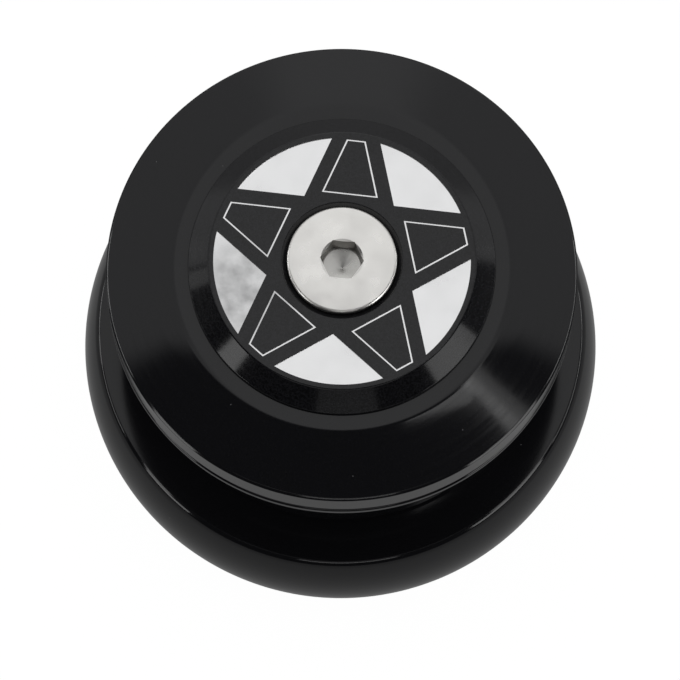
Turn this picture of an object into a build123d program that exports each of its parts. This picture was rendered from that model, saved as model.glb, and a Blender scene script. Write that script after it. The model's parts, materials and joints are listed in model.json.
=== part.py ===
"""Threadless bicycle headset, stacked as it stands on a bench.

Frame: origin at the centre of the crown race's bottom face, +Z up along the steering axis, millimetres.
Each turned piece is a half section in the (radius, height) plane, revolved about Z.
"""
import os
from math import cos, pi, radians, sin, sqrt, tan

from build123d import *

# Tubes that the headset joins
steerer_d = 28.6
steerer_wall = 1.6
crown_seat_d = 39.8

# Cartridge bearings, 45 degree seats
upper_ring_wall = 0.8
upper_bearing_section = 5.8
upper_bearing_h = 7.0
lower_bearing_gap = 0.35
lower_bearing_section = 5.75
lower_bearing_h = 7.0
ball_d = 3.969
ball_spacing = 5.7
race_land_offset = 1.1
groove_clearance = 0.05
seat_chamfer = 1.3
race_edge = 0.4
seal_inset = 0.25
seal_t = 0.6
seal_snap = 0.3
seal_lip_gap = 0.15
cage_t = 1.5
cage_rise = 0.9
pocket_clearance = 0.08
cage_seal_gap = 0.15

# Crown race and its wiper
crown_flange_overhang = 0.5
crown_flange_t = 2.0
crown_hub_wall = 2.3
crown_stand = 2.2
crown_cone_h = 0.9
wiper_t = 0.9
wiper_gap = 0.12
wiper_root_w = 1.8
wiper_lip_up = 1.44
wiper_tip_up = 1.62
wiper_fold_w = 1.98

# Cups
slip = 0.03
cup_wall = 1.1
skirt_wall = 1.3
roof_gap = 0.5
roof_t = 2.3
lower_lip = 1.7
shoulder_land = 0.76
bulge = 1.84
bulge_drop = 7.5
upper_skirt_h = 8.0
lower_skirt_h = 8.0
lead_in = 0.5
lead_in_h = 1.2
relief = 0.2
relief_h = 0.9
flange_overhang = 3.0
flange_t = 1.1
upper_bearing_proud = 0.2
ledge_drop = 0.6
ledge_w = 1.4
edge_break = 0.25

# Compression ring
ring_stand = 1.9
ring_top_wall = 2.7
ring_toe = 0.5
ring_slit = 1.8

# Dust cover
cover_gap = 0.6
rim_h = 4.0
rim_wall = 1.4
cover_rise = 2.0
cover_wall = 1.6
cover_ring_r = 17.95
cover_bore_gap = 0.1
cover_hub_wall = 3.0
wiper_ledge_w = 1.8
wiper_ledge_h = 1.9
ring_blend_r = 6.0
rim_edge_r = 0.3
o_ring_d = 1.48
o_ring_squeeze = 0.09
o_ring_up = 2.1

# Top cap
cap_r = 16.25
cap_lip_h = 0.4
cap_lip_w = 1.75
cap_chamfer_w = 2.15
cap_chamfer_h = 1.8
cap_web_t = 1.9
boss_r = 7.0
boss_drop = 2.0
spigot_r = 12.4
spigot_wall = 1.5
spigot_drop = 1.1
cap_edge_r = 0.15

# Five-point star on the cap, laid out from the tip radius of a regular star
star_points = 5
star_turn = 84.5
star_tip_r = 21.2
star_disc_r = 13.53
star_depth = 0.1
arm_line_from = 7.24
arm_line_to = 13.33
arm_line_inset = 1.49
arm_line_w = 0.2
arm_line_depth = 0.06

# Cap bolt, M6 countersunk
bolt_d = 6.0
bolt_length = 30.0
bolt_tip = 0.6
head_r = 5.8
head_land = 0.9
head_proud = 0.35
head_edge = 0.2
bolt_hole_gap = 0.3
countersink_gap = 0.05
hex_flats = 4.0
hex_depth = 2.6
hex_lead_in = 0.35
hex_turn = -4.0
drill_cone_h = 0.9

# Star nut
thread_gap = 0.05
nut_overrun = 0.3
nut_swage_wall = 2.1
nut_neck_wall = 1.4
nut_body_wall = 2.6
nut_swage_h = 1.0
nut_body_h = 7.2
petal_t = 0.8
petal_hub_r = 6.6
petal_bite = 0.5
petal_angle = 25.0
petal_count = 8
petal_slot_w = 2.2

# Angles of a star whose edges run on from tip to tip
star_step = 360 / star_points
star_tip_half = 90 / star_points

# Radii worked out from the tubes outwards
steerer_r = steerer_d / 2
crown_bore_r = crown_seat_d / 2
upper_bearing_bore_r = steerer_r + upper_ring_wall
upper_bearing_r = upper_bearing_bore_r + upper_bearing_section
lower_bearing_bore_r = crown_bore_r + lower_bearing_gap
lower_bearing_r = lower_bearing_bore_r + lower_bearing_section
crown_flange_r = lower_bearing_r + crown_flange_overhang
skirt_r = upper_bearing_r + cup_wall
flange_r = skirt_r + flange_overhang
skirt_bore_r = skirt_r - skirt_wall
shoulder_r = lower_bearing_r + shoulder_land
bulge_r = shoulder_r + bulge

# Heights worked out from the crown race upwards
lower_bearing_z = crown_flange_t + crown_stand
lower_bearing_top = lower_bearing_z + lower_bearing_h
roof_under = lower_bearing_top + roof_gap
shoulder_z = roof_under + roof_t
lower_cup_bottom = lower_bearing_z - lower_lip
skirt_joint_z = shoulder_z + lower_skirt_h
flange_bottom = skirt_joint_z + upper_skirt_h
flange_top = flange_bottom + flange_t
upper_bearing_top = flange_top + upper_bearing_proud
upper_bearing_z = upper_bearing_top - upper_bearing_h
ring_top = upper_bearing_top + ring_stand
rim_bottom = flange_top + cover_gap
rim_top = rim_bottom + rim_h
cover_top = rim_top + cover_rise
cap_top = cover_top + cap_lip_h + cap_chamfer_h
head_top = cap_top + head_proud
head_cone_top = head_top - head_land
bolt_end = head_top - bolt_length
nut_bottom = bolt_end - nut_overrun

parts = {}


def turned(*corners):
    """Revolve a closed half section. A corner is (radius, height) or (radius, height, fillet)."""
    points = [corner[:2] for corner in corners]
    fillets = [corner[2] if len(corner) == 3 else 0 for corner in corners]
    outline = FilletPolyline(*points, radius=fillets, close=True)
    return revolve(Plane.XZ * make_face(outline), Axis.Z)


def ring_of_balls(pitch_r, height, radius, count):
    return [Pos(0, 0, height) * spot * Sphere(radius) for spot in PolarLocations(pitch_r, count, 180 / count)]


def cartridge_bearing(name, bore_r, section, height, base_z, flipped):
    """One sealed bearing, made with its outer seat below and its inner seat above, then set in place."""
    outer_r = bore_r + section
    pitch_r = bore_r + section / 2
    middle = height / 2
    ball_r = ball_d / 2
    inner_land = pitch_r - race_land_offset
    outer_land = pitch_r + race_land_offset
    snap_r = outer_land + seal_snap
    count = round(2 * pi * pitch_r / ball_spacing)
    groove = Pos(0, 0, middle) * Torus(pitch_r, ball_r + groove_clearance)

    def seal(low):
        return turned((inner_land + seal_lip_gap, low), (snap_r, low), (snap_r, low + seal_t),
                      (inner_land + seal_lip_gap, low + seal_t))

    bottom_seal = seal(seal_inset)
    top_seal = seal(height - seal_inset - seal_t)
    outer_race = turned((outer_land, 0), (outer_r - seat_chamfer, 0), (outer_r, seat_chamfer),
                        (outer_r, height - race_edge), (outer_r - race_edge, height), (outer_land, height))
    outer_race = outer_race - groove - bottom_seal - top_seal
    inner_race = turned((bore_r, race_edge), (bore_r + race_edge, 0), (inner_land, 0), (inner_land, height),
                        (bore_r + seat_chamfer, height), (bore_r, height - seat_chamfer)) - groove
    cage_low = seal_inset + seal_t + cage_seal_gap
    cage = turned((pitch_r - cage_t / 2, cage_low), (pitch_r + cage_t / 2, cage_low),
                  (pitch_r + cage_t / 2, middle + cage_rise), (pitch_r - cage_t / 2, middle + cage_rise))
    cage = cage - ring_of_balls(pitch_r, middle, ball_r + pocket_clearance, count)
    balls = Compound(children=ring_of_balls(pitch_r, middle, ball_r, count))

    place = Pos(0, 0, base_z + height) * Rot(180, 0, 0) if flipped else Pos(0, 0, base_z)
    seal_names = ("top_seal", "bottom_seal") if flipped else ("bottom_seal", "top_seal")
    parts[name + "_outer_race"] = place * outer_race
    parts[name + "_inner_race"] = place * inner_race
    parts[name + "_balls"] = place * balls
    parts[name + "_cage"] = place * cage
    parts[name + "_" + seal_names[0]] = place * bottom_seal
    parts[name + "_" + seal_names[1]] = place * top_seal


def make_crown_race():
    """Flanged ring on the fork's seat, with the 45 degree cone that carries the lower inner race."""
    hub_r = crown_bore_r + crown_hub_wall
    cone_sum = lower_bearing_bore_r + seat_chamfer + lower_bearing_z
    cone_top = lower_bearing_z + crown_cone_h
    return turned((crown_bore_r, race_edge), (crown_bore_r + race_edge, 0), (crown_flange_r - edge_break, 0),
                  (crown_flange_r, edge_break), (crown_flange_r, crown_flange_t - edge_break),
                  (crown_flange_r - edge_break, crown_flange_t), (hub_r, crown_flange_t),
                  (hub_r, cone_sum - hub_r), (cone_sum - cone_top, cone_top), (crown_bore_r, cone_top))


def make_crown_race_seal():
    """Rubber wiper round the crown race's hub, its lip close to the lower cup's bore."""
    hub_r = crown_bore_r + crown_hub_wall
    lip_r = lower_bearing_r + slip - wiper_gap
    low = crown_flange_t
    return turned((hub_r, low), (lip_r - wiper_root_w, low), (lip_r, low + wiper_lip_up),
                  (lip_r - wiper_t / 2, low + wiper_tip_up), (lip_r - wiper_fold_w, low + wiper_t),
                  (hub_r, low + wiper_t))


def make_lower_cup():
    """External cup: bearing seat inside, bulged side, flat shoulder and the skirt pressed into the frame."""
    bore_r = lower_bearing_r + slip
    seat_sum = lower_bearing_r + lower_bearing_top - seat_chamfer
    bulge_z = shoulder_z - bulge_drop
    side_r = (bulge_drop ** 2 + bulge ** 2) / (2 * bulge)
    foot_z = lower_cup_bottom + edge_break
    foot_r = bulge_r - side_r + sqrt(side_r ** 2 - (bulge_z - foot_z) ** 2)
    edge_z = shoulder_z - edge_break
    edge_r = bulge_r - side_r + sqrt(side_r ** 2 - (edge_z - bulge_z) ** 2)
    inside = Polyline((edge_r - edge_break, shoulder_z), (skirt_r - relief, shoulder_z),
                      (skirt_r - relief, shoulder_z + relief_h - relief), (skirt_r, shoulder_z + relief_h),
                      (skirt_r, skirt_joint_z - lead_in_h), (skirt_r - lead_in, skirt_joint_z),
                      (skirt_bore_r + edge_break, skirt_joint_z), (skirt_bore_r, skirt_joint_z - edge_break),
                      (skirt_bore_r, roof_under), (seat_sum - roof_under, roof_under),
                      (bore_r, seat_sum - bore_r), (bore_r, lower_cup_bottom + edge_break),
                      (bore_r + edge_break, lower_cup_bottom), (foot_r - edge_break, lower_cup_bottom),
                      (foot_r, foot_z))
    side = ThreePointArc((foot_r, foot_z), (bulge_r, bulge_z), (edge_r, edge_z))
    shoulder_edge = Line((edge_r, edge_z), (edge_r - edge_break, shoulder_z))
    return revolve(Plane.XZ * make_face([inside, side, shoulder_edge]), Axis.Z)


def make_upper_cup():
    """Semi-integrated cup: thin flange, bearing bore with a 45 degree seat, and its own skirt."""
    bore_r = upper_bearing_r + slip
    seat_difference = upper_bearing_r - upper_bearing_z - seat_chamfer
    ledge_z = upper_bearing_z - ledge_drop
    ledge_r = seat_difference + ledge_z
    return turned((ledge_r - ledge_w, skirt_joint_z + edge_break),
                  (ledge_r - ledge_w + edge_break, skirt_joint_z), (skirt_r - lead_in, skirt_joint_z),
                  (skirt_r, skirt_joint_z + lead_in_h), (skirt_r, flange_bottom - relief_h),
                  (skirt_r - relief, flange_bottom - relief_h + relief), (skirt_r - relief, flange_bottom),
                  (flange_r - edge_break, flange_bottom), (flange_r, flange_bottom + edge_break),
                  (flange_r, flange_top - edge_break), (flange_r - edge_break, flange_top),
                  (bore_r + edge_break, flange_top), (bore_r, flange_top - edge_break),
                  (bore_r, bore_r - seat_difference), (ledge_r, ledge_z), (ledge_r - ledge_w, ledge_z))


def make_compression_ring():
    """Split ring: its cone sits in the inner race and its bore closes on the steerer."""
    cone_difference = upper_bearing_bore_r + seat_chamfer - upper_bearing_top
    toe_z = upper_bearing_top - seat_chamfer - ring_toe
    wall_r = steerer_r + ring_top_wall
    ring = turned((steerer_r, toe_z), (cone_difference + toe_z, toe_z), (wall_r, wall_r - cone_difference),
                  (wall_r, ring_top), (steerer_r, ring_top))
    slit = Pos(0, wall_r, ring_top) * Box(ring_slit, 2 * wall_r, 4 * upper_bearing_h)
    return ring - slit


def cover_cone(radius):
    """Height of the cover's conical top at a radius."""
    return cover_top - cover_rise * (radius - cover_ring_r) / (flange_r - cover_ring_r)


def make_dust_cover():
    """Low cone with a flat top ring and a straight rim; inside, a hub on the ring and a wiper ledge."""
    bore_r = steerer_r + cover_bore_gap
    hub_r = bore_r + cover_hub_wall
    rim_in_r = flange_r - rim_wall
    ledge_r = rim_in_r - wiper_ledge_w
    ledge_z = rim_bottom + wiper_ledge_h
    cover = turned((bore_r, ring_top), (hub_r, ring_top), (hub_r, cover_cone(hub_r) - cover_wall),
                   (ledge_r, cover_cone(ledge_r) - cover_wall), (ledge_r, ledge_z), (rim_in_r, ledge_z),
                   (rim_in_r, rim_bottom), (flange_r - edge_break, rim_bottom),
                   (flange_r, rim_bottom + edge_break), (flange_r, rim_top, rim_edge_r),
                   (cover_ring_r, cover_top, ring_blend_r), (bore_r + edge_break, cover_top),
                   (bore_r, cover_top - edge_break))
    low = ring_top + o_ring_up - o_ring_d / 2 - slip
    high = ring_top + o_ring_up + o_ring_d / 2 + slip
    deep = steerer_r - o_ring_squeeze + o_ring_d + slip
    return cover - turned((steerer_r, low), (deep, low), (deep, high), (steerer_r, high))


def make_steerer_o_ring():
    return Pos(0, 0, ring_top + o_ring_up) * Torus(steerer_r - o_ring_squeeze + o_ring_d / 2, o_ring_d / 2)


def make_cover_seal():
    """Rubber wiper on the cover's ledge, its lip just above the upper cup's flange."""
    outer = flange_r - rim_wall
    inner = outer - wiper_ledge_w
    top = rim_bottom + wiper_ledge_h
    low = flange_top + wiper_gap
    return turned((inner, top), (inner, top - wiper_t), (outer - wiper_t, top - wiper_t - edge_break),
                  (outer - wiper_t / 2 - edge_break, low), (outer - edge_break, low),
                  (outer, top - wiper_t - edge_break), (outer, top))


def star_sectors():
    """What a five-point star leaves of its disc: five curved triangles."""
    notch_r = star_tip_r * sin(radians(star_tip_half)) / sin(radians(star_tip_half + star_step / 2))
    corners = []
    for i in range(2 * star_points):
        radius = star_tip_r if i % 2 == 0 else notch_r
        angle = radians(star_turn + star_step / 2 * i)
        corners.append((radius * cos(angle), radius * sin(angle)))
    return Circle(star_disc_r) - make_face(Polyline(*corners, close=True))


def arm_outline(turn):
    """A thin tapered frame inside one arm of the star, its long sides parallel to the arm's edges."""
    def frame_at(inset, start, stop):
        half = radians(star_tip_half)
        near = (star_tip_r - start) * tan(half) - inset / cos(half)
        far = (star_tip_r - stop) * tan(half) - inset / cos(half)
        return make_face(Polyline((start, -near), (stop, -far), (stop, far), (start, near), close=True))

    outside = frame_at(arm_line_inset, arm_line_from, arm_line_to)
    inside = frame_at(arm_line_inset + arm_line_w, arm_line_from + arm_line_w, arm_line_to - arm_line_w)
    return Rot(0, 0, turn) * (outside - inside)


def make_top_cap():
    """Turned cap: chamfered edge, countersunk hole, spigot for the steerer, and the engraved star."""
    hole_r = bolt_d / 2 + bolt_hole_gap
    sink_r = head_r + cap_top - head_cone_top + countersink_gap
    under = cap_top - cap_web_t
    cap = turned((hole_r, cover_top - boss_drop), (boss_r, cover_top - boss_drop), (boss_r, under),
                 (spigot_r - spigot_wall, under), (spigot_r - spigot_wall, cover_top - spigot_drop),
                 (spigot_r, cover_top - spigot_drop), (spigot_r, under), (cap_r - cap_lip_w, under),
                 (cap_r - cap_lip_w, cover_top), (cap_r, cover_top),
                 (cap_r, cover_top + cap_lip_h, cap_edge_r),
                 (cap_r - cap_chamfer_w, cap_top, cap_edge_r), (sink_r, cap_top),
                 (hole_r, cap_top - (sink_r - hole_r)))
    face = Plane.XY.offset(cap_top)
    cap -= extrude(face * star_sectors(), -star_depth)
    for i in range(star_points):
        cap -= extrude(face * arm_outline(star_turn + star_step * i), -arm_line_depth)
    return cap


def make_top_cap_bolt():
    """Countersunk bolt, its head a little proud, with a hexagon socket that ends in the drill's cone."""
    shank_r = bolt_d / 2
    bolt = turned((0, bolt_end), (shank_r - bolt_tip, bolt_end), (shank_r, bolt_end + bolt_tip),
                  (shank_r, head_cone_top - (head_r - shank_r)), (head_r, head_cone_top),
                  (head_r, head_top - head_edge), (head_r - head_edge, head_top), (0, head_top))
    face = Plane.XY.offset(head_top)
    hexagon = RegularPolygon(hex_flats / 2, 6, major_radius=False, rotation=hex_turn)
    bolt -= extrude(face * hexagon, -hex_depth)
    lead_r = hex_flats / 2 / cos(pi / 6) + hex_lead_in
    bolt -= turned((0, head_top), (lead_r, head_top), (0, head_top - lead_r))
    floor_z = head_top - hex_depth
    return bolt - turned((0, floor_z), (hex_flats / 2, floor_z), (0, floor_z - drill_cone_h))


def make_star_nut():
    """Threaded barrel with two sprung stars swaged onto its necks, run onto the end of the bolt."""
    bore_r = bolt_d / 2 + thread_gap
    swage_r = bore_r + nut_swage_wall
    neck_r = bore_r + nut_neck_wall
    body_r = bore_r + nut_body_wall
    lower_star_z = nut_bottom + nut_swage_h
    body_z = lower_star_z + petal_t
    upper_star_z = body_z + nut_body_h
    top = upper_star_z + petal_t + nut_swage_h
    parts["star_nut_barrel"] = turned(
        (bore_r, nut_bottom), (swage_r, nut_bottom), (swage_r, lower_star_z), (neck_r, lower_star_z),
        (neck_r, body_z), (body_r, body_z), (body_r, upper_star_z), (neck_r, upper_star_z),
        (neck_r, upper_star_z + petal_t), (swage_r, upper_star_z + petal_t), (swage_r, top), (bore_r, top))

    tip_r = steerer_r - steerer_wall + petal_bite
    lift = (tip_r - petal_hub_r) * tan(radians(petal_angle))
    skin = petal_t / cos(radians(petal_angle))
    star = turned((neck_r, 0), (petal_hub_r, 0), (tip_r, lift), (tip_r, lift + skin),
                  (petal_hub_r, petal_t), (neck_r, petal_t))
    for i in range(petal_count):
        reach = petal_hub_r + petal_slot_w / 2
        slot = Pos(reach + tip_r / 2, 0, 0) * Box(tip_r, petal_slot_w, 4 * tip_r)
        slot += Pos(reach, 0, 0) * Cylinder(petal_slot_w / 2, 4 * tip_r)
        star -= Rot(0, 0, 360 * i / petal_count) * slot
    parts["star_nut_lower_star"] = Pos(0, 0, lower_star_z) * star
    parts["star_nut_upper_star"] = Pos(0, 0, upper_star_z) * star


parts["crown_race"] = make_crown_race()
parts["crown_race_seal"] = make_crown_race_seal()
cartridge_bearing("lower_bearing", lower_bearing_bore_r, lower_bearing_section, lower_bearing_h,
                  lower_bearing_z, flipped=True)
parts["lower_cup"] = make_lower_cup()
parts["upper_cup"] = make_upper_cup()
cartridge_bearing("upper_bearing", upper_bearing_bore_r, upper_bearing_section, upper_bearing_h,
                  upper_bearing_z, flipped=False)
parts["compression_ring"] = make_compression_ring()
parts["cover_seal"] = make_cover_seal()
parts["steerer_o_ring"] = make_steerer_o_ring()
parts["dust_cover"] = make_dust_cover()
parts["top_cap"] = make_top_cap()
parts["top_cap_bolt"] = make_top_cap_bolt()
make_star_nut()

os.makedirs("parts", exist_ok=True)
for node, shape in parts.items():
    export_step(shape, f"parts/{node}.step")
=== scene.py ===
# %% [markdown]
# # A threadless bicycle headset
# The headset is the pair of bearings that a bicycle's fork turns in. Seen from above it is a stack of
# turned rings: a starred top cap with its bolt, a low conical cover, the upper cup, and the bulged lower
# cup. The solid model is loaded first as a fixed frame, so every piece made here is already in the right
# place.

# %% Load the frame
import json
from math import cos, degrees, pi, radians, sin, tan

import bmesh
import bpy
from mathutils import Matrix, Quaternion, Vector


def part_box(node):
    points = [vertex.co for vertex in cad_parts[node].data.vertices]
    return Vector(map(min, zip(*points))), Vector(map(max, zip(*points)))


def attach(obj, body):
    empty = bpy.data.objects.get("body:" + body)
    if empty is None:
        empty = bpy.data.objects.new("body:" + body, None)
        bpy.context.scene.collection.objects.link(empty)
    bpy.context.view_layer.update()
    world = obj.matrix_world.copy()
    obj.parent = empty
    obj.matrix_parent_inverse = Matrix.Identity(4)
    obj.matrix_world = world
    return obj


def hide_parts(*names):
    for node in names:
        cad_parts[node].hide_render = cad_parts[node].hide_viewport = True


MM = 0.001

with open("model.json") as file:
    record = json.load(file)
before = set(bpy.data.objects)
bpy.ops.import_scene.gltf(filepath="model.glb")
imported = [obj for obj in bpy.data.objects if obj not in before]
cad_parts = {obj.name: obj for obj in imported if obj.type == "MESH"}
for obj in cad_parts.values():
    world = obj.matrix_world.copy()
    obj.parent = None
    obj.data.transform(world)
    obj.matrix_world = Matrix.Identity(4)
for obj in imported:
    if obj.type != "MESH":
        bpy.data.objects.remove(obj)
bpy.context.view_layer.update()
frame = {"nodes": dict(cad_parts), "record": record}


# %% [markdown]
# ## The camera
# The picture was taken from steeply above and a little in front, from about half a metre away. A long
# lens at that distance keeps the circles nearly true while the lower cup still shows below the cover. The
# camera is aimed at a point in the plane of the cover's rim, and turned a degree about its own axis.

# %% Camera
CAMERA_PLACE = Vector((0.0, -135.39, 492.77))
CAMERA_AIM = Vector((-0.058, -7.54, 35.7))
CAMERA_ROLL = 1.037
LENS = 238.24
SENSOR_WIDTH = 36.0
CLIP_START = 0.01

lens = bpy.data.cameras.new("studio_camera")
lens.lens = LENS
lens.sensor_width = SENSOR_WIDTH
lens.clip_start = CLIP_START
camera = bpy.data.objects.new("studio_camera", lens)
bpy.context.collection.objects.link(camera)
view = CAMERA_AIM - CAMERA_PLACE
camera.location = CAMERA_PLACE * MM
camera.rotation_mode = "QUATERNION"
camera.rotation_quaternion = view.to_track_quat("-Z", "Y") @ Quaternion((0, 0, 1), radians(CAMERA_ROLL))
bpy.context.scene.camera = camera
bpy.context.scene.view_settings.view_transform = "Standard"
print("camera", round(view.length), "mm away, lens", LENS, "mm")

# %% [markdown]
# ## Helpers for turned pieces
# Nearly every piece of a headset comes off a lathe, so it can be drawn as half of its section and spun
# about the steering axis. A chain of vertices is the section, a vertex bevel rounds its corners, and one
# full spin makes the ring. Drawing the section keeps the true radii and gives far smoother highlights
# than the frame's triangles.

# %% Helpers: draw a half section and spin it
TURN_STEPS = 288
CORNER_STEPS = 4
ROUND_PROFILE = 0.5
WELD = 1e-7


def half_section(bm, corners, closed=True):
    """Corners are (radius, height) in mm; a third is how far a rounding reaches. Returns the last vertex."""
    verts = [bm.verts.new((corner[0] * MM, 0, corner[1] * MM)) for corner in corners]
    for start, end in zip(verts, verts[1:]):
        bm.edges.new((start, end))
    if closed:
        bm.edges.new((verts[-1], verts[0]))
    for vert, corner in zip(verts, corners):
        if len(corner) == 3:
            bmesh.ops.bevel(bm, geom=[vert], offset=corner[2] * MM, offset_type="OFFSET",
                            segments=CORNER_STEPS, profile=ROUND_PROFILE, affect="VERTICES", material=-1)
    return verts[-1]


def spin_round(bm, steps=TURN_STEPS):
    bmesh.ops.spin(bm, geom=bm.verts[:] + bm.edges[:], cent=(0, 0, 0), axis=(0, 0, 1), angle=2 * pi,
                   steps=steps, use_merge=True)
    bmesh.ops.remove_doubles(bm, verts=bm.verts[:], dist=WELD)
    bmesh.ops.recalc_face_normals(bm, faces=bm.faces[:])


def as_object(bm, name, *finishes):
    mesh = bpy.data.meshes.new(name)
    bm.to_mesh(mesh)
    bm.free()
    for finish in finishes:
        mesh.materials.append(finish)
    piece = bpy.data.objects.new(name, mesh)
    bpy.context.collection.objects.link(piece)
    return piece


def turned(name, corners, *finishes, closed=True, steps=TURN_STEPS):
    bm = bmesh.new()
    half_section(bm, corners, closed)
    spin_round(bm, steps)
    return as_object(bm, name, *finishes)


print("a full turn has", TURN_STEPS, "steps of", round(360 / TURN_STEPS, 2), "degrees")

# %% [markdown]
# A finished piece is shaded smooth, but real edges stay crisp and flat faces stay flat. It then takes the
# place of its node in the frame and moves with the node's body.

# %% Helpers: shade a piece and hand it its node
SHARP_ANGLE = 27.0
FLAT_WEIGHT = 100


def smooth(piece):
    mesh = piece.data
    mesh.polygons.foreach_set("use_smooth", [True] * len(mesh.polygons))
    mesh.set_sharp_from_angle(angle=radians(SHARP_ANGLE))
    weighted = piece.modifiers.new("flat_faces_stay_flat", "WEIGHTED_NORMAL")
    weighted.keep_sharp = True
    weighted.weight = FLAT_WEIGHT


def stands_for(piece, node, body):
    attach(piece, body)
    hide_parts(node)
    low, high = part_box(node)
    print(piece.name, "replaces", node, "faces", len(piece.data.polygons),
          "heights in mm", round(low[2] / MM, 2), "to", round(high[2] / MM, 2))


print("edges sharper than", SHARP_ANGLE, "degrees stay crisp")

# %% [markdown]
# ## Helpers for finishes
# A lathe leaves fine rings, so most finishes here need to know how far a point is from the steering axis.
# The length of the point's X and Y gives that radius. Paired with the height it makes a coordinate in
# which plain noise turns into rings on flats and cones, and into fine hoops on upright walls.

# %% Helpers: where a point is
def new_finish(name):
    finish = bpy.data.materials.new(name)
    finish.use_nodes = True
    tree = finish.node_tree
    return finish, tree, tree.nodes["Principled BSDF"]


def object_place(tree):
    return tree.nodes.new("ShaderNodeTexCoord").outputs["Object"]


def vector_math(tree, operation, place, other=(0, 0, 0)):
    node = tree.nodes.new("ShaderNodeVectorMath")
    node.operation = operation
    node.inputs[1].default_value = other
    tree.links.new(place, node.inputs[0])
    return node.outputs


def lathe_place(tree):
    """The point as (distance from the axis, 0, height)."""
    place = object_place(tree)
    flat = vector_math(tree, "MULTIPLY", place, (1, 1, 0))["Vector"]
    height = tree.nodes.new("ShaderNodeSeparateXYZ")
    tree.links.new(place, height.inputs[0])
    lathe = tree.nodes.new("ShaderNodeCombineXYZ")
    tree.links.new(vector_math(tree, "LENGTH", flat)["Value"], lathe.inputs["X"])
    tree.links.new(height.outputs["Z"], lathe.inputs["Z"])
    return lathe.outputs["Vector"]


print("helpers ready: the point itself, and its radius with its height")

# %% [markdown]
# The rest are short names for single nodes: noise, a range, plain arithmetic, a mix of two colours, and a
# bump.

# %% Helpers: noise, ranges, colours and relief
def noise(tree, place, scale, detail=2.0, roughness=0.5):
    texture = tree.nodes.new("ShaderNodeTexNoise")
    texture.inputs["Scale"].default_value = scale
    texture.inputs["Detail"].default_value = detail
    texture.inputs["Roughness"].default_value = roughness
    tree.links.new(place, texture.inputs["Vector"])
    return texture.outputs["Fac"]


def spread(tree, value, low, high, from_low=0.3, from_high=0.7, curve="LINEAR"):
    """Map a value onto a range; noise lies mostly between the two default limits."""
    ramp = tree.nodes.new("ShaderNodeMapRange")
    ramp.interpolation_type = curve
    ramp.inputs["From Min"].default_value = from_low
    ramp.inputs["From Max"].default_value = from_high
    ramp.inputs["To Min"].default_value = low
    ramp.inputs["To Max"].default_value = high
    tree.links.new(value, ramp.inputs["Value"])
    return ramp.outputs["Result"]


def arithmetic(tree, operation, *values):
    """Each value is a plain number or a node's output."""
    node = tree.nodes.new("ShaderNodeMath")
    node.operation = operation
    for socket, value in zip(node.inputs, values):
        if isinstance(value, float):
            socket.default_value = value
        else:
            tree.links.new(value, socket)
    return node.outputs["Value"]


def blend(tree, value, first, second):
    """Mix two colours by a value; each colour is (r, g, b) or a node's output."""
    mix = tree.nodes.new("ShaderNodeMix")
    mix.data_type = "RGBA"
    tree.links.new(value, mix.inputs["Factor"])
    for name, colour in (("A", first), ("B", second)):
        if isinstance(colour, tuple):
            mix.inputs[name].default_value = (*colour, 1)
        else:
            tree.links.new(colour, mix.inputs[name])
    return mix.outputs["Result"]


def relief(tree, value, depth_mm, after=None):
    """A bump of that depth, on top of another one if given."""
    bump = tree.nodes.new("ShaderNodeBump")
    bump.inputs["Strength"].default_value = 1.0
    bump.inputs["Distance"].default_value = depth_mm * MM
    tree.links.new(value, bump.inputs["Height"])
    if after:
        tree.links.new(after, bump.inputs["Normal"])
    return bump.outputs["Normal"]


print("helpers ready: noise, spread, arithmetic, blend and relief")

# %% [markdown]
# ## Black anodised aluminium
# The cups, cover and crown race are turned from aluminium, then dyed black in an anodising bath. What is
# seen is almost only the thin clear oxide's reflection, so the finish is a very dark colour under a plain
# dielectric gloss. Fine lathe rings lie under the oxide: they go into the roughness and into a bump less
# than a thousandth of a mm deep. A few pale specks of dust lie on top.

# %% Finish: black anodised aluminium
RING_SCALE = 2600.0
GRAIN_SCALE = 4500.0
OXIDE_IOR = 1.45
BLUE_CAST = 1.16
DUST_SCALE = 700.0
DUST_SIZE = 0.045
DUST_SHARE = 0.12
DUST_GREY = (0.16, 0.16, 0.165)


def dust(tree):
    """A few specks, each in a cell of its own."""
    cells = tree.nodes.new("ShaderNodeTexVoronoi")
    cells.inputs["Scale"].default_value = DUST_SCALE
    tree.links.new(object_place(tree), cells.inputs["Vector"])
    pick = tree.nodes.new("ShaderNodeSeparateColor")
    tree.links.new(cells.outputs["Color"], pick.inputs[0])
    near = arithmetic(tree, "LESS_THAN", cells.outputs["Distance"], DUST_SIZE)
    rare = arithmetic(tree, "LESS_THAN", pick.outputs["Red"], DUST_SHARE)
    return arithmetic(tree, "MULTIPLY", near, rare)


def anodised(name, ring_depth, grain_depth, smoothest, roughest, black, grey):
    finish, tree, shader = new_finish(name)
    rings = noise(tree, lathe_place(tree), RING_SCALE, detail=4.0, roughness=0.6)
    grain = noise(tree, object_place(tree), GRAIN_SCALE)
    normal = relief(tree, grain, grain_depth, relief(tree, rings, ring_depth))
    dark, light = [(value, value, value * BLUE_CAST) for value in (black, grey)]
    skin = blend(tree, spread(tree, grain, 0.0, 1.0), dark, light)
    tree.links.new(normal, shader.inputs["Normal"])
    tree.links.new(spread(tree, rings, smoothest, roughest), shader.inputs["Roughness"])
    tree.links.new(blend(tree, dust(tree), skin, DUST_GREY), shader.inputs["Base Color"])
    shader.inputs["IOR"].default_value = OXIDE_IOR
    return finish


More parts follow.
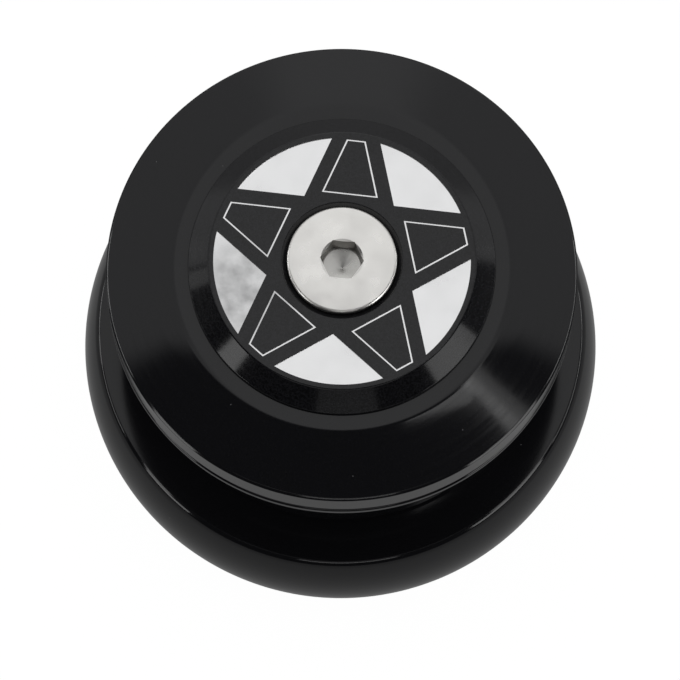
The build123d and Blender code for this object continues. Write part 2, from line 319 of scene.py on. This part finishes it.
black_anodised = anodised("black_anodised", ring_depth=0.0004, grain_depth=0.0002,
                          smoothest=0.07, roughest=0.12, black=0.0088, grey=0.0112)
cap_anodised = anodised("cap_anodised", ring_depth=0.0008, grain_depth=0.0006,
                        smoothest=0.08, roughest=0.14, black=0.004, grey=0.017)
print("finishes:", black_anodised.name, cap_anodised.name)

# %% [markdown]
# ## Bare metals
# The star's bright fields are aluminium cut through the black skin; one place on them carries a painted
# reflection, a darker blotchy patch. The bolt is stainless steel with fine turning marks. Its socket walls
# and drill point wear darker copies of that steel, painted shade inside the socket. The hidden pieces are
# zinc plated or ground bearing steel. All are metals with a little colour; they differ in how rough they
# are and in how deep their marks go.

# %% Finish: bare metals
METAL_GRAIN_SCALE = 5200.0
METAL_CLOUD_SCALE = 350.0
# For each metal: dark and light colour, smoothest and roughest, depth of rings and of grain in mm
METALS = {
    "bare_aluminium": ((0.955, 0.955, 0.955), (0.985, 0.985, 0.985), 0.16, 0.28, 0.0002, 0.0008),
    "bolt_steel": ((0.95, 0.935, 0.90), (0.985, 0.97, 0.935), 0.22, 0.40, 0.0018, 0.0050),
    # the socket's two steels below are darker copies of the bolt steel: painted shade inside the socket
    "socket_shade_steel": ((0.30, 0.29, 0.275), (0.46, 0.45, 0.43), 0.22, 0.40, 0.0010, 0.0040),
    "drill_shade_steel": ((0.64, 0.63, 0.60), (0.84, 0.83, 0.80), 0.22, 0.40, 0.0010, 0.0040),
    "zinc_steel": ((0.52, 0.53, 0.55), (0.70, 0.71, 0.72), 0.28, 0.46, 0.0010, 0.0020),
    "bearing_steel": ((0.52, 0.52, 0.53), (0.62, 0.62, 0.63), 0.16, 0.26, 0.0010, 0.0004),
    "ball_steel": ((0.70, 0.70, 0.71), (0.76, 0.76, 0.77), 0.06, 0.10, 0.0, 0.0001)}


def bare_metal(name, dark, light, smoothest, roughest, ring_depth, grain_depth):
    finish, tree, shader = new_finish(name)
    rings = noise(tree, lathe_place(tree), RING_SCALE, detail=3.0, roughness=0.6)
    grain = noise(tree, object_place(tree), METAL_GRAIN_SCALE, detail=3.0, roughness=0.7)
    clouds = noise(tree, object_place(tree), METAL_CLOUD_SCALE, detail=3.0)
    normal = relief(tree, grain, grain_depth, relief(tree, rings, ring_depth))
    colour = blend(tree, spread(tree, clouds, 0.0, 1.0), dark, light)
    tree.links.new(normal, shader.inputs["Normal"])
    tree.links.new(spread(tree, clouds, smoothest, roughest), shader.inputs["Roughness"])
    tree.links.new(colour, shader.inputs["Base Color"])
    shader.inputs["Metallic"].default_value = 1.0
    return finish


metals = {name: bare_metal(name, *look) for name, look in METALS.items()}
print("finishes:", *metals)

# %% [markdown]
# The painted reflection is a round darker patch that fades outwards and is broken up into blots by noise,
# standing in for the mottled reflection on the star's left fields. It is mixed over the colour that the
# aluminium already has.

# %% Finish: painted reflection patch on the star
MARK_CENTRE = (-10.4, -3.4, 39.8)
MARK_REACH = 7.0
MARK_CORE = 0.3
MARK_BLOT_SCALE = 520.0
MARK_FAINTEST = 0.35
MARK_GREY = (0.42, 0.42, 0.42)


# painted reflection: darkens the aluminium in a blotchy patch on the star's left fields
def painted_reflection_patch(finish):
    tree = finish.node_tree
    colour = tree.nodes["Principled BSDF"].inputs["Base Color"]
    centre = [value * MM for value in MARK_CENTRE]
    away = vector_math(tree, "DISTANCE", object_place(tree), centre)["Value"]
    near = spread(tree, away, 1.0, 0.0, MARK_CORE * MARK_REACH * MM, MARK_REACH * MM)
    blots = noise(tree, object_place(tree), MARK_BLOT_SCALE, detail=4.0)
    mark = arithmetic(tree, "MULTIPLY", near, spread(tree, blots, MARK_FAINTEST, 1.0))
    tree.links.new(blend(tree, mark, colour.links[0].from_socket, MARK_GREY), colour)


star_aluminium = metals["bare_aluminium"]
painted_reflection_patch(star_aluminium)
print("painted reflection patch on", star_aluminium.name, "within", MARK_REACH, "mm")

# %% [markdown]
# ## Rubber and nylon
# The wipers, the O-ring and the bearing seals are dark rubber, dull and very slightly grainy. The ball
# cages are moulded nylon, a warm white that lets a little light in.

# %% Finish: rubber and nylon
MOULD_CLOUD_SCALE = 420.0
MOULD_GRAIN_SCALE = 4200.0
NYLON_SOFTNESS = 0.3
NYLON_LIGHT_REACH = (0.0008, 0.0007, 0.0005)


def moulded(name, dark, light, smoothest, roughest, grain_depth, soft=0.0):
    finish, tree, shader = new_finish(name)
    clouds = noise(tree, object_place(tree), MOULD_CLOUD_SCALE, detail=3.0)
    grain = noise(tree, object_place(tree), MOULD_GRAIN_SCALE, detail=3.0, roughness=0.7)
    colour = blend(tree, spread(tree, clouds, 0.0, 1.0), dark, light)
    tree.links.new(relief(tree, grain, grain_depth), shader.inputs["Normal"])
    tree.links.new(spread(tree, clouds, smoothest, roughest), shader.inputs["Roughness"])
    tree.links.new(colour, shader.inputs["Base Color"])
    if soft:
        shader.inputs["Subsurface Weight"].default_value = soft
        shader.inputs["Subsurface Radius"].default_value = NYLON_LIGHT_REACH
    return finish


rubber = moulded("rubber", (0.016, 0.016, 0.017), (0.024, 0.024, 0.024), 0.55, 0.72, 0.006)
seal_rubber = moulded("seal_rubber", (0.022, 0.022, 0.025), (0.032, 0.032, 0.035), 0.48, 0.62, 0.004)
nylon = moulded("nylon", (0.70, 0.67, 0.60), (0.78, 0.76, 0.70), 0.42, 0.55, 0.003, soft=NYLON_SOFTNESS)
print("finishes:", rubber.name, seal_rubber.name, nylon.name)

# %% [markdown]
# ## Finishes for the pieces that stay as they are
# Bearings, seals and the star nut are right as they came in the frame and are mostly inside. Each node
# only gets the finish that its slot in the record names.

# %% Dress the frame's own pieces
FINISHES = {
    "black_anodised": black_anodised, "cap_anodised": cap_anodised, **metals,
    "rubber": rubber, "seal_rubber": seal_rubber, "nylon": nylon}
for subpart in frame["record"]["subparts"]:
    node = frame["nodes"][subpart["node"]]
    finish = FINISHES[subpart["material_slot"]]
    if not node.material_slots:
        node.data.materials.append(finish)
    for slot in node.material_slots:
        slot.material = finish

# %% [markdown]
# ## Dust cover
# The cover is a low cone that keeps water off the upper bearing. A flat ring at its top carries the cap.
# Beside the ring the cone starts two degrees flatter, which gives it a faint dome. The rim's top corner
# is broken by a narrow flat, and that flat draws the thin bright line round the picture's largest circle.

# %% Dust cover
cover = turned("cover_cone", [
    (14.4, 33.2), (17.4, 33.2), (17.4, 36.256), (21.8, 35.008), (21.8, 33.6), (23.6, 33.6),
    (23.6, 31.7, 0.1), (24.65, 31.7, 0.05), (25.0, 32.05, 0.05), (25.0, 35.532, 0.03), (24.74, 35.774, 0.03),
    (19.2, 37.3684, 1.0), (17.87, 37.7, 0.35), (14.65, 37.7, 0.1),
    (14.4, 37.45), (14.4, 36.07), (15.72, 36.07), (15.72, 34.53), (14.4, 34.53)], black_anodised)
smooth(cover)
stands_for(cover, "dust_cover", "steering_top")

# %% [markdown]
# ## Upper cup
# The upper cup is pressed into the head tube by its skirt, and only its thin flange shows, as a second
# edge just under the cover. The small step under the flange is the relief that lets the frame sit square
# against it.

# %% Upper cup
upper = turned("upper_cup_ring", [
    (17.6, 22.25), (17.85, 22.0), (21.5, 22.0, 0.1), (22.0, 23.2, 0.2), (22.0, 29.1), (21.8, 29.3),
    (21.8, 30.0), (24.82, 30.0, 0.08), (25.0, 30.18, 0.06), (25.0, 30.92, 0.06), (24.82, 31.1, 0.08),
    (21.18, 31.1, 0.08), (20.93, 30.85), (20.93, 25.63), (19.0, 23.7), (17.6, 23.7)], black_anodised)
smooth(upper)
stands_for(upper, "upper_cup", "cups")

# %% [markdown]
# ## Lower cup
# The lower cup is larger, because the fork's steerer tapers out to a bigger bearing. Its side is one long
# arc. A single vertex spun about the arc's own centre draws that curve, and the chain of straight edges
# closes it.

# %% Lower cup
SIDE_RADIUS = 16.205
SIDE_CENTRE = (28.6 - SIDE_RADIUS, 6.5)
SIDE_FOOT = (28.16, 2.75)
SIDE_EDGE = (27.034, 13.45)
SIDE_STEPS = 28
SIDE_WELD = 0.02

lower_bm = bmesh.new()
foot = half_section(lower_bm, [
    SIDE_EDGE, (26.547, 14.0, 0.04), (21.8, 14.0), (21.8, 14.7), (22.0, 14.9), (22.0, 20.8, 0.2),
    (21.5, 22.0, 0.1), (20.95, 22.0), (20.7, 21.75), (20.7, 11.7), (24.2, 11.7), (26.03, 9.87),
    (26.03, 2.75), (26.28, 2.5, 0.06), (27.91, 2.5, 0.08), SIDE_FOOT], closed=False)
to_foot, to_edge = [Vector((r - SIDE_CENTRE[0], z - SIDE_CENTRE[1])) for r, z in (SIDE_FOOT, SIDE_EDGE)]
side_angle = to_foot.angle(to_edge)
bmesh.ops.spin(lower_bm, geom=[foot], cent=(SIDE_CENTRE[0] * MM, 0, SIDE_CENTRE[1] * MM), axis=(0, 1, 0),
               angle=-side_angle, steps=SIDE_STEPS)
bmesh.ops.remove_doubles(lower_bm, verts=lower_bm.verts[:], dist=SIDE_WELD * MM)
loose_ends = [vert for vert in lower_bm.verts if len(vert.link_edges) != 2]
spin_round(lower_bm)
lower = as_object(lower_bm, "lower_cup_bulge", black_anodised)
smooth(lower)
stands_for(lower, "lower_cup", "cups")
print("side arc", round(degrees(side_angle), 1), "degrees, loose ends", len(loose_ends))

# %% [markdown]
# ## Crown race
# The crown race is the ring that is driven onto the fork, with the 45 degree cone that the lower bearing
# sits on. The whole stack stands on its flat underside.

# %% Crown race
race = turned("crown_race_ring", [
    (19.9, 0.4), (20.3, 0.0, 0.06), (26.3, 0.0, 0.08), (26.5, 0.2, 0.06), (26.5, 1.8, 0.06),
    (26.3, 2.0, 0.08), (22.2, 2.0), (22.2, 3.55), (20.65, 5.1), (19.9, 5.1)], black_anodised)
smooth(race)
stands_for(race, "crown_race", "steering_bottom")

# %% [markdown]
# ## Top cap
# The cap's body is turned like the rest: a thin lip, a wide chamfer, a flat top with a countersink, and a
# spigot underneath. The star comes after, as shallow cuts that show the bare metal.

# %% Top cap: turned body
CAP_TOP = 39.9
cap = turned("star_cap", [
    (3.3, 35.7, 0.1), (7.0, 35.7, 0.15), (7.0, 38.0), (10.9, 38.0), (10.9, 36.6, 0.1), (12.4, 36.6, 0.15),
    (12.4, 38.0), (14.5, 38.0), (14.5, 37.7), (16.25, 37.7, 0.06), (16.25, 38.1, 0.12),
    (14.1, CAP_TOP, 0.12), (6.4, CAP_TOP, 0.05), (3.3, 36.8, 0.1)], cap_anodised, star_aluminium)
print("cap body faces", len(cap.data.polygons))

# %% [markdown]
# ## Star on the cap
# The star is a regular one whose tips lie outside the cap, so a disc cut by five straight lines gives it:
# a piece of the disc that lies outside exactly two of the lines is one of the bright fields. Each field
# becomes a shallow prism that will cut into the cap.

# %% Star cutter
STAR_POINTS = 5
STAR_TURN = 84.5
STAR_TIP = 21.2
STAR_DISC = 13.53
STAR_DEPTH = 0.1
DISC_SEGMENTS = 360
CUTTER_CLEAR = 0.5
HALF_TIP = radians(90 / STAR_POINTS)
LINE_OFFSET = STAR_TIP * sin(HALF_TIP)
ARM_ANGLES = [radians(STAR_TURN + 360 / STAR_POINTS * i) for i in range(STAR_POINTS)]
# Outward normals of the lines that the star's edges lie on; each points along an arm
STAR_LINES = [Vector((cos(angle), sin(angle), 0)) for angle in ARM_ANGLES]


def raise_prisms(bm, faces, low, high):
    for face in faces:
        for vert in face.verts:
            vert.co.z = low * MM
    grown = bmesh.ops.extrude_face_region(bm, geom=faces)["geom"]
    tops = [item for item in grown if isinstance(item, bmesh.types.BMVert)]
    bmesh.ops.translate(bm, verts=tops, vec=(0, 0, (high - low) * MM))
    bmesh.ops.recalc_face_normals(bm, faces=bm.faces[:])


def lines_passed(face):
    middle = face.calc_center_median()
    return sum(1 for line in STAR_LINES if middle.dot(line) > LINE_OFFSET * MM)


star_bm = bmesh.new()
bmesh.ops.create_circle(star_bm, cap_ends=True, radius=STAR_DISC * MM, segments=DISC_SEGMENTS)
for line in STAR_LINES:
    bmesh.ops.bisect_plane(star_bm, geom=star_bm.verts[:] + star_bm.edges[:] + star_bm.faces[:], dist=WELD,
                           plane_co=line * LINE_OFFSET * MM, plane_no=line)
inside_star = [face for face in star_bm.faces if lines_passed(face) != 2]
bmesh.ops.delete(star_bm, geom=inside_star, context="FACES")
print("star fields", len(star_bm.faces), "line offset in mm", round(LINE_OFFSET, 3))
raise_prisms(star_bm, star_bm.faces[:], CAP_TOP - STAR_DEPTH, CAP_TOP + CUTTER_CLEAR)
star_cutter = as_object(star_bm, "star_cutter", star_aluminium)

# %% [markdown]
# Each arm also carries a thin outline. It is a tapered face with its long sides parallel to the arm's
# edges, inset by the line's width, with the middle taken out again.

# %% Arm outlines cutter
OUTLINE_FROM = 7.24
OUTLINE_TO = 13.33
OUTLINE_INSET = 1.49
OUTLINE_WIDTH = 0.16
OUTLINE_DEPTH = 0.06


def half_width(radius):
    """Half the outline's width at that distance from the axis."""
    return (STAR_TIP - radius) * tan(HALF_TIP) - OUTLINE_INSET / cos(HALF_TIP)


outline_bm = bmesh.new()
for angle in ARM_ANGLES:
    corners = [(OUTLINE_FROM, -half_width(OUTLINE_FROM)), (OUTLINE_TO, -half_width(OUTLINE_TO)),
               (OUTLINE_TO, half_width(OUTLINE_TO)), (OUTLINE_FROM, half_width(OUTLINE_FROM))]
    face = outline_bm.faces.new([outline_bm.verts.new((x * MM, y * MM, 0)) for x, y in corners])
    face.normal_update()
    band = bmesh.ops.inset_individual(outline_bm, faces=[face], thickness=OUTLINE_WIDTH * MM,
                                      use_even_offset=True)
    arm = list({vert for strip in band["faces"] for vert in strip.verts})
    bmesh.ops.delete(outline_bm, geom=[face], context="FACES_ONLY")
    bmesh.ops.rotate(outline_bm, verts=arm, cent=(0, 0, 0), matrix=Matrix.Rotation(angle, 3, "Z"))
raise_prisms(outline_bm, outline_bm.faces[:], CAP_TOP - OUTLINE_DEPTH, CAP_TOP + CUTTER_CLEAR)
outline_cutter = as_object(outline_bm, "outline_cutter", star_aluminium)
print("outline cutter faces", len(outline_cutter.data.polygons))

# %% [markdown]
# A Boolean cut takes the two cutters out of the cap. The cutters wear the bare metal, and the cut faces
# keep it, so the floor of each cut is bright and the rest stays black.

# %% Cut the star into the cap
def carve(piece, cutter):
    """Take the cutter out of the piece for good; the cutter's own finish stays on the cut faces."""
    cut = piece.modifiers.new("carve", "BOOLEAN")
    cut.operation = "DIFFERENCE"
    cut.solver = "EXACT"
    cut.material_mode = "TRANSFER"
    cut.object = cutter
    bpy.context.view_layer.update()
    carved = bpy.data.meshes.new_from_object(piece.evaluated_get(bpy.context.evaluated_depsgraph_get()))
    piece.modifiers.clear()
    plain = piece.data
    piece.data = carved
    bpy.data.meshes.remove(plain)
    bpy.data.objects.remove(cutter)
    carved.name = piece.name


carve(cap, star_cutter)
carve(cap, outline_cutter)
smooth(cap)
stands_for(cap, "top_cap", "steering_top")
print("finishes on the cap:", [slot.name for slot in cap.material_slots])

# %% [markdown]
# ## Cap bolt
# The bolt is an ordinary M6 countersunk screw, its head standing a little proud of the cap. Its hexagon
# socket has a coned mouth and ends in the mark of the drill. Three cuts into a turned body make it.

# %% Cap bolt: turned body
HEAD_TOP = 40.25
THREAD_CORE = 2.55
BOLT_STEPS = 192
bolt = turned("cap_bolt_head", [
    (0.0, 10.25), (2.2, 10.25, 0.1), (THREAD_CORE, 10.6), (THREAD_CORE, 33.6), (3.0, 34.1), (3.0, 36.55),
    (5.8, 39.35, 0.06), (5.8, 40.05, 0.08), (5.6, HEAD_TOP, 0.08), (0.0, HEAD_TOP)],
    metals["bolt_steel"], closed=False, steps=BOLT_STEPS)
print("bolt body faces", len(bolt.data.polygons))

# %% [markdown]
# A prism, a wide cone and a pointed cone are the three tools. A tool is a cone standing on the steering
# axis, and one with the same radius at both ends is a prism. Its first corner lies on +Y, from where the
# turn is counted.

# %% Cap bolt: socket
HEX_FLATS = 4.0
HEX_DEPTH = 2.6
HEX_TURN = 26.0
HEX_CLEAR = 1.0
MOUTH_RADIUS = 2.25
MOUTH_SLOPE = radians(30)
MOUTH_REACH = 1.0
MOUTH_SEGMENTS = 96
DRILL_DEPTH = 0.9
DRILL_POINT = 0.02
DRILL_INSET = 0.02
DRILL_OVERLAP = 0.01
DRILL_SEGMENTS = 64


def upright_tool(name, finish, low_radius, high_radius, low, high, segments, turn=0.0):
    bm = bmesh.new()
    place = Matrix.Translation((0, 0, (low + high) / 2 * MM)) @ Matrix.Rotation(radians(turn), 4, "Z")
    bmesh.ops.create_cone(bm, cap_ends=True, segments=segments, radius1=low_radius * MM,
                          radius2=high_radius * MM, depth=(high - low) * MM, matrix=place)
    return as_object(bm, name, finish)


hex_floor = HEAD_TOP - HEX_DEPTH
hex_corner = HEX_FLATS / 2 / cos(pi / 6)
mouth_rise = MOUTH_REACH * tan(MOUTH_SLOPE)
# the socket walls and the drill point take darker steels: painted shade inside the socket
carve(bolt, upright_tool("hexagon", metals["socket_shade_steel"], hex_corner, hex_corner,
                         hex_floor, HEAD_TOP + HEX_CLEAR, 6, HEX_TURN))
carve(bolt, upright_tool("mouth", metals["bolt_steel"],
                         MOUTH_RADIUS - MOUTH_REACH, MOUTH_RADIUS + MOUTH_REACH,
                         HEAD_TOP - mouth_rise, HEAD_TOP + mouth_rise, MOUTH_SEGMENTS))
carve(bolt, upright_tool("drill", metals["drill_shade_steel"], DRILL_POINT, HEX_FLATS / 2 - DRILL_INSET,
                         hex_floor - DRILL_DEPTH, hex_floor + DRILL_OVERLAP, DRILL_SEGMENTS))
smooth(bolt)
stands_for(bolt, "top_cap_bolt", "cap_bolt")

# %% [markdown]
# The thread is one small ridge wound round the shank: a spin that also climbs by the pitch at every turn.

# %% Cap bolt: thread
PITCH = 1.0
THREAD_TURNS = 22
THREAD_STEPS = 28
THREAD_START = 11.2
THREAD_CREST = 2.97
CREST_HALF = 0.07
ROOT_HALF = 0.46
ROOT_SINK = 0.05

thread_bm = bmesh.new()
ridge = [thread_bm.verts.new((radius * MM, 0, (THREAD_START + rise) * MM)) for radius, rise in (
    (THREAD_CORE - ROOT_SINK, -ROOT_HALF), (THREAD_CREST, -CREST_HALF), (THREAD_CREST, CREST_HALF),
    (THREAD_CORE - ROOT_SINK, ROOT_HALF))]
ridge_edges = [thread_bm.edges.new(pair) for pair in zip(ridge, ridge[1:] + ridge[:1])]
bmesh.ops.spin(thread_bm, geom=ridge + ridge_edges, cent=(0, 0, 0), axis=(0, 0, 1),
               angle=2 * pi * THREAD_TURNS, dvec=(0, 0, PITCH / THREAD_STEPS * MM),
               steps=THREAD_TURNS * THREAD_STEPS)
open_edges = [edge for edge in thread_bm.edges if len(edge.link_faces) == 1]
bmesh.ops.holes_fill(thread_bm, edges=open_edges, sides=4)
bmesh.ops.recalc_face_normals(thread_bm, faces=thread_bm.faces[:])
thread = as_object(thread_bm, "cap_bolt_thread", metals["bolt_steel"])
smooth(thread)
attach(thread, "cap_bolt")
print("thread turns", THREAD_TURNS, "faces", len(thread.data.polygons))

# %% [markdown]
# ## Table
# The headset stands on a plain white table. The camera sees it as a clean white, reflections see only a
# part of that white, and the rest is lit like any surface, so the soft shadow under the stack stays. The
# table lies a hair below the crown race, so that the two flat faces don't fall into one.

# %% Table
TABLE_SIZE = 6.0
TABLE_GAP = 0.02
TABLE_GREY = 0.3
TABLE_ROUGHNESS = 0.9
TABLE_WHITE = 1.2
TABLE_GLOW = {"Is Camera Ray": 0.82, "Is Glossy Ray": 0.155, "Is Transmission Ray": 0.155}

table_paint, tree, shader = new_finish("table_white")
shader.inputs["Base Color"].default_value = (TABLE_GREY, TABLE_GREY, TABLE_GREY, 1)
shader.inputs["Roughness"].default_value = TABLE_ROUGHNESS
shader.inputs["Specular IOR Level"].default_value = 0.0
glow = tree.nodes.new("ShaderNodeEmission")
glow.inputs["Color"].default_value = (1, 1, 1, 1)
glow.inputs["Strength"].default_value = TABLE_WHITE
path = tree.nodes.new("ShaderNodeLightPath")
share = 0.0
for ray, part in TABLE_GLOW.items():
    share = arithmetic(tree, "MULTIPLY_ADD", path.outputs[ray], part, share)
mixed = tree.nodes.new("ShaderNodeMixShader")
tree.links.new(share, mixed.inputs["Fac"])
tree.links.new(shader.outputs["BSDF"], mixed.inputs[1])
tree.links.new(glow.outputs["Emission"], mixed.inputs[2])
tree.links.new(mixed.outputs["Shader"], tree.nodes["Material Output"].inputs["Surface"])
table_bm = bmesh.new()
bmesh.ops.create_grid(table_bm, x_segments=1, y_segments=1, size=TABLE_SIZE / 2,
                      matrix=Matrix.Translation((0, 0, -TABLE_GAP * MM)))
table = as_object(table_bm, "white_table", table_paint)
print("table", TABLE_SIZE, "m square,", TABLE_GAP, "mm below the crown race")

# %% [markdown]
# ## Studio light
# Black gloss is lit by what it mirrors. Behind and above the headset is a broad pale ceiling, a little
# brighter in the middle, and on the camera's side the room is dark: that gives the grey back half of the
# cone and its black front. The world does this with a soft step along Y that leans with the height. The
# camera itself sees plain white where the table ends.

# %% World
CEILING_SIDES = 0.58
CEILING_MIDDLE = 0.80
CEILING_TINT = (0.99, 0.993, 1.0, 1)
MIDDLE_EDGE = (0.10, 0.26)
DARK_ROOM = 0.012
STEP = (0.285, 0.355)
STEP_LEAN = 0.31
STEP_SKEW = -0.033

world = bpy.data.worlds.new("studio")
bpy.context.scene.world = world
world.use_nodes = True
tree = world.node_tree
direction = tree.nodes.new("ShaderNodeSeparateXYZ")
tree.links.new(tree.nodes.new("ShaderNodeTexCoord").outputs["Generated"], direction.inputs[0])
x, y, z = direction.outputs
leaning = arithmetic(tree, "MULTIPLY_ADD", z, STEP_LEAN, y)
leaning = arithmetic(tree, "MULTIPLY_ADD", x, STEP_SKEW, leaning)
sideways = arithmetic(tree, "ABSOLUTE", x)
ceiling = spread(tree, sideways, CEILING_MIDDLE, CEILING_SIDES, *MIDDLE_EDGE, curve="SMOOTHSTEP")
lit = arithmetic(tree, "MULTIPLY", ceiling, spread(tree, leaning, 0.0, 1.0, *STEP, curve="SMOOTHSTEP"))
background = tree.nodes["Background"]
background.inputs["Color"].default_value = CEILING_TINT
tree.links.new(arithmetic(tree, "ADD", lit, DARK_ROOM), background.inputs["Strength"])
white = tree.nodes.new("ShaderNodeBackground")
white.inputs["Color"].default_value = (1, 1, 1, 1)
choose = tree.nodes.new("ShaderNodeMixShader")
tree.links.new(tree.nodes.new("ShaderNodeLightPath").outputs["Is Camera Ray"], choose.inputs["Fac"])
tree.links.new(background.outputs["Background"], choose.inputs[1])
tree.links.new(white.outputs["Background"], choose.inputs[2])
tree.links.new(choose.outputs["Shader"], tree.nodes["World Output"].inputs["Surface"])
print("ceiling", CEILING_SIDES, "to", CEILING_MIDDLE, "dark room", DARK_ROOM)

# %% [markdown]
# Soft lamps draw the highlights, each placed where one slope mirrors it. A softbox on the right and a
# strip on the left, each with a brighter low one beside it, show in the cap's chamfer. A strip, its core
# and a wedge overhead make the pale flare on the cone's right side. Three in front, a card at the left and
# two long sills fill in the rest, above all the bright line round the cover's rim. An area lamp looks as
# bright as its power over four times its area, so the power is worked out from how bright the patch
# should look.

# %% Lamps
LAMP_DISTANCE = 0.9
LAMP_CENTRE = 38.0
POWER_PER_AREA = 4


def soft_lamp(name, towards, width_deg, height_deg, brightness, upright=(0, 0, 1)):
    """A rectangle of light seen in that direction; upright is the way its height runs."""
    lamp = bpy.data.lights.new(name, "AREA")
    lamp.shape = "RECTANGLE"
    lamp.size = 2 * LAMP_DISTANCE * tan(radians(width_deg / 2))
    lamp.size_y = 2 * LAMP_DISTANCE * tan(radians(height_deg / 2))
    lamp.energy = brightness * POWER_PER_AREA * lamp.size * lamp.size_y
    facing = Vector(towards).normalized()
    across = Vector(upright).cross(facing).normalized()
    holder = bpy.data.objects.new(name, lamp)
    bpy.context.collection.objects.link(holder)
    holder.location = facing * LAMP_DISTANCE + Vector((0, 0, LAMP_CENTRE * MM))
    holder.rotation_mode = "QUATERNION"
    holder.rotation_quaternion = Matrix((across, facing.cross(across), facing)).transposed().to_quaternion()
    holder.visible_camera = False
    print(name, "power", round(lamp.energy, 3), "W")


soft_lamp("right_softbox", (0.837, -0.414, 0.358), 26, 12, 1.35)
soft_lamp("right_low", (0.816, -0.551, 0.174), 27, 10, 2.2)
soft_lamp("left_strip", (-0.810, -0.458, 0.366), 11, 12, 1.75)
soft_lamp("left_low", (-0.812, -0.558, 0.174), 17, 10, 2.2)
soft_lamp("overhead_strip", (0.405, -0.056, 0.913), 4.6, 14, 0.85, upright=(-0.8, 0.6, 0))
soft_lamp("overhead_core", (0.394, -0.071, 0.916), 2.3, 14, 1.0, upright=(-0.8, 0.6, 0))
soft_lamp("overhead_wedge", (0.303, -0.1424, 0.9423), 13.2, 4.3, 1.4, upright=(-0.319, 0.948, 0))
soft_lamp("front_card", (0.06, -0.908, 0.415), 28, 7.5, 0.15)
soft_lamp("front_edge", (0.06, -0.940, 0.335), 28, 3.8, 1.3)
soft_lamp("front_panel", (0.0, -0.66, 0.75), 50, 26, 0.4)
soft_lamp("left_card", (-0.967, 0.15, 0.2), 7, 28, 0.5)
soft_lamp("left_sill", (-0.990, 0.095, 0.105), 40, 3, 2.8, upright=(0, 0.249, 0.969))
soft_lamp("right_sill", (0.990, 0.095, 0.105), 40, 3, 2.8, upright=(0, 0.249, 0.969))
